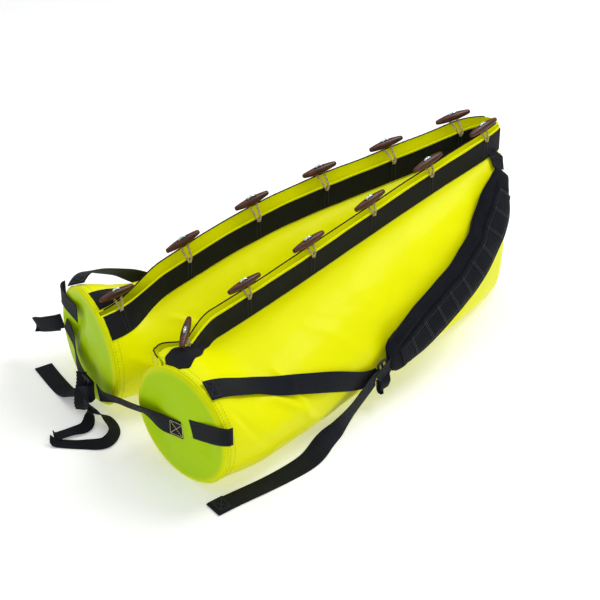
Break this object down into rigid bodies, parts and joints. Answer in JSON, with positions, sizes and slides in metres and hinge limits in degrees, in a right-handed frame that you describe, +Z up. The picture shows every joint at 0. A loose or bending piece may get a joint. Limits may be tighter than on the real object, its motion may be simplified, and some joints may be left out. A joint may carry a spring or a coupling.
{
  "type": "folding soft rescue stretcher",
  "caption": "Long coated-fabric stretcher sleeve with a toggled mouth, folded in half, with padded shoulder straps and an end strap that ties its round ends together.",
  "frame": {"origin": "bottom centre of the folded stretcher's bounding box, on the floor it lies on", "axes": "+X from the two round ends to the fold, +Y to the left half, +Z up"},
  "size_m": [1.0601, 0.6485, 0.3907],
  "materials": {
    "coated_fabric": "glossy coated fabric, bright yellow",
    "webbing": "woven webbing, near black blue",
    "padding": "ribbed mesh over foam, near black",
    "toggle_wood": "dark lacquered wood",
    "cord": "braided cord, straw colour",
    "buckle_plastic": "moulded, black"
  },
  "bodies": {
    "right_half": {"right_tube_wall": "coated_fabric", "right_end_cap": "coated_fabric", "right_outer_near_band": "webbing", "right_nose_band": "webbing", "right_fold_band": "webbing", "right_cord_1": "cord", "right_cord_6": "cord", "right_rim_patch": "webbing", "right_strap_anchor": "webbing"},
    "left_half": {"left_tube_wall": "coated_fabric", "left_end_cap": "coated_fabric", "left_outer_near_band": "webbing", "left_inner_near_band": "webbing", "left_nose_band": "webbing", "left_fold_band": "webbing", "left_cord_1": "cord", "left_cord_6": "cord", "left_rim_patch": "webbing", "left_strap_anchor": "webbing", "left_side_tab": "webbing"},
    "right_outer_lip": {"right_outer_lip": "coated_fabric", "right_outer_band": "webbing", "right_cord_2": "cord", "right_cord_3": "cord", "right_cord_4": "cord", "right_cord_5": "cord"},
    "right_inner_lip": {"right_inner_lip": "coated_fabric", "right_inner_band": "webbing"},
    "left_outer_lip": {"left_outer_lip": "coated_fabric", "left_outer_band": "webbing"},
    "left_inner_lip": {"left_inner_lip": "coated_fabric", "left_inner_band": "webbing", "left_cord_2": "cord", "left_cord_3": "cord", "left_cord_4": "cord", "left_cord_5": "cord"},
    "right_shoulder_strap": {"right_shoulder_pad": "padding", "right_pad_webbing": "webbing", "right_lower_webbing": "webbing", "right_strap_buckle": "buckle_plastic"},
    "left_shoulder_strap": {"left_shoulder_pad": "padding", "left_pad_webbing": "webbing", "left_lower_webbing": "webbing", "left_strap_buckle": "buckle_plastic"},
    "right_end_strap": {"right_end_strap": "webbing"},
    "left_end_strap": {"left_end_strap": "webbing", "end_strap_buckle": "buckle_plastic", "end_pull_loop": "webbing"},
    "right_toggle_1": {"right_toggle_1": "toggle_wood"},
    "right_toggle_2": {"right_toggle_2": "toggle_wood"},
    "right_toggle_3": {"right_toggle_3": "toggle_wood"},
    "right_toggle_4": {"right_toggle_4": "toggle_wood"},
    "right_toggle_5": {"right_toggle_5": "toggle_wood"},
    "right_toggle_6": {"right_toggle_6": "toggle_wood"},
    "left_toggle_1": {"left_toggle_1": "toggle_wood"},
    "left_toggle_2": {"left_toggle_2": "toggle_wood"},
    "left_toggle_3": {"left_toggle_3": "toggle_wood"},
    "left_toggle_4": {"left_toggle_4": "toggle_wood"},
    "left_toggle_5": {"left_toggle_5": "toggle_wood"},
    "left_toggle_6": {"left_toggle_6": "toggle_wood"}
  },
  "joints": [
    {"name": "fold_hinge", "type": "hinge", "parent": "right_half", "child": "left_half", "pos_m": [0.5305, -0.0292, 0], "axis": [0, 0, -1], "range_deg": [0, 170]},
    {"name": "right_outer_lip_fold", "type": "hinge", "parent": "right_half", "child": "right_outer_lip", "pos_m": [-0.2677, -0.1137, 0.1984], "axis": [0.9857, 0.0837, 0.1464], "range_deg": [0, 55]},
    {"name": "right_inner_lip_fold", "type": "hinge", "parent": "right_half", "child": "right_inner_lip", "pos_m": [-0.2719, -0.081, 0.1974], "axis": [-0.9864, -0.0543, -0.1551], "range_deg": [0, 20]},
    {"name": "left_outer_lip_fold", "type": "hinge", "parent": "left_half", "child": "left_outer_lip", "pos_m": [-0.2597, 0.1198, 0.2101], "axis": [-0.9857, 0.096, -0.1381], "range_deg": [0, 55]},
    {"name": "left_inner_lip_fold", "type": "hinge", "parent": "left_half", "child": "left_inner_lip", "pos_m": [-0.266, 0.0692, 0.1935], "axis": [0.9864, -0.0757, 0.1457], "range_deg": [0, 30]},
    {"name": "right_toggle_1_swivel", "type": "hinge", "parent": "right_half", "child": "right_toggle_1", "pos_m": [-0.31982, -0.10876, 0.25657], "axis": [0, 0, 1], "range_deg": [-85, 85]},
    {"name": "right_toggle_2_swivel", "type": "hinge", "parent": "right_outer_lip", "child": "right_toggle_2", "pos_m": [-0.16106, -0.07808, 0.28322], "axis": [0, 0, 1], "range_deg": [-85, 85]},
    {"name": "right_toggle_3_swivel", "type": "hinge", "parent": "right_outer_lip", "child": "right_toggle_3", "pos_m": [0.00049, -0.06938, 0.30868], "axis": [0, 0, 1], "range_deg": [-85, 85]},
    {"name": "right_toggle_4_swivel", "type": "hinge", "parent": "right_outer_lip", "child": "right_toggle_4", "pos_m": [0.16095, -0.05998, 0.33615], "axis": [0, 0, 1], "range_deg": [-85, 85]},
    {"name": "right_toggle_5_swivel", "type": "hinge", "parent": "right_outer_lip", "child": "right_toggle_5", "pos_m": [0.32012, -0.05017, 0.36088], "axis": [0, 0, 1], "range_deg": [-85, 85]},
    {"name": "right_toggle_6_swivel", "type": "hinge", "parent": "right_half", "child": "right_toggle_6", "pos_m": [0.4782, -0.03961, 0.38117], "axis": [0, 0, 1], "range_deg": [-85, 85]},
    {"name": "left_toggle_1_swivel", "type": "hinge", "parent": "left_half", "child": "left_toggle_1", "pos_m": [-0.34551, 0.08193, 0.2525], "axis": [0, 0, 1], "range_deg": [-85, 85]},
    {"name": "left_toggle_2_swivel", "type": "hinge", "parent": "left_inner_lip", "child": "left_toggle_2", "pos_m": [-0.17979, 0.09619, 0.29676], "axis": [0, 0, 1], "range_deg": [-85, 85]},
    {"name": "left_toggle_3_swivel", "type": "hinge", "parent": "left_inner_lip", "child": "left_toggle_3", "pos_m": [-0.01793, 0.08837, 0.33192], "axis": [0, 0, 1], "range_deg": [-85, 85]},
    {"name": "left_toggle_4_swivel", "type": "hinge", "parent": "left_inner_lip", "child": "left_toggle_4", "pos_m": [0.14212, 0.07557, 0.34993], "axis": [0, 0, 1], "range_deg": [-85, 85]},
    {"name": "left_toggle_5_swivel", "type": "hinge", "parent": "left_inner_lip", "child": "left_toggle_5", "pos_m": [0.30132, 0.0577, 0.36108], "axis": [0, 0, 1], "range_deg": [-85, 85]},
    {"name": "left_toggle_6_swivel", "type": "hinge", "parent": "left_half", "child": "left_toggle_6", "pos_m": [0.4606, 0.03328, 0.37927], "axis": [0, 0, 1], "range_deg": [-85, 85]},
    {"name": "right_shoulder_strap_swing", "type": "hinge", "parent": "right_half", "child": "right_shoulder_strap", "pos_m": [0.50473, -0.05621, 0.31721], "axis": [-0.9782, -0.1877, -0.0883], "range_deg": [0, 85]},
    {"name": "left_shoulder_strap_swing", "type": "hinge", "parent": "left_half", "child": "left_shoulder_strap", "pos_m": [0.51081, 0.02315, 0.32018], "axis": [0.9829, -0.1595, 0.0925], "range_deg": [0, 75]},
    {"name": "right_end_strap_turn", "type": "hinge", "parent": "right_half", "child": "right_end_strap", "pos_m": [-0.3979, -0.1694, 0.107], "axis": [0, 0, 1], "range_deg": [0, 45]},
    {"name": "left_end_strap_turn", "type": "hinge", "parent": "left_half", "child": "left_end_strap", "pos_m": [-0.3832, 0.22, 0.122], "axis": [0, 0, -1], "range_deg": [0, 35]}
  ]
}
